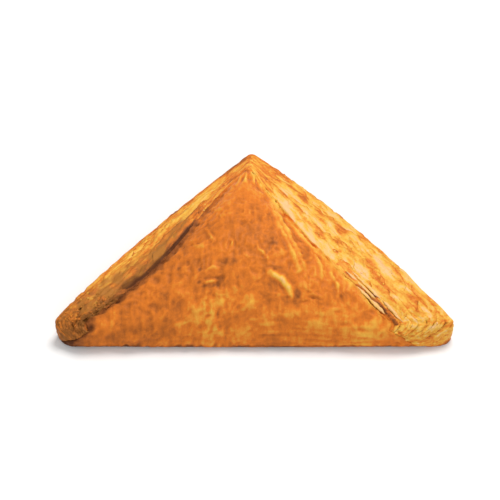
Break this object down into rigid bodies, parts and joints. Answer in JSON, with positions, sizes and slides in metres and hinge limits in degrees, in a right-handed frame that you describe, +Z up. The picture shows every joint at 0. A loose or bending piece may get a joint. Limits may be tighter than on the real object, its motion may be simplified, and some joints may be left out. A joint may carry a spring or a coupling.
{
  "type": "tuna puff",
  "caption": "Triangular baked puff pastry with a rounded fold, two flaky stepped sides and a raised middle over its filling.",
  "frame": {"origin": "middle of the underside's bounding box, on the surface that the puff rests on", "axes": "+X along the fold, towards the wider band of leaves; +Y from the fold to the tip; +Z up"},
  "size_m": [0.1402, 0.0794, 0.0255],
  "materials": {
    "crust": "egg-washed, browned puff pastry with a soft sheen"
  },
  "bodies": {
    "root": {"puff": "crust"}
  },
  "joints": []
}
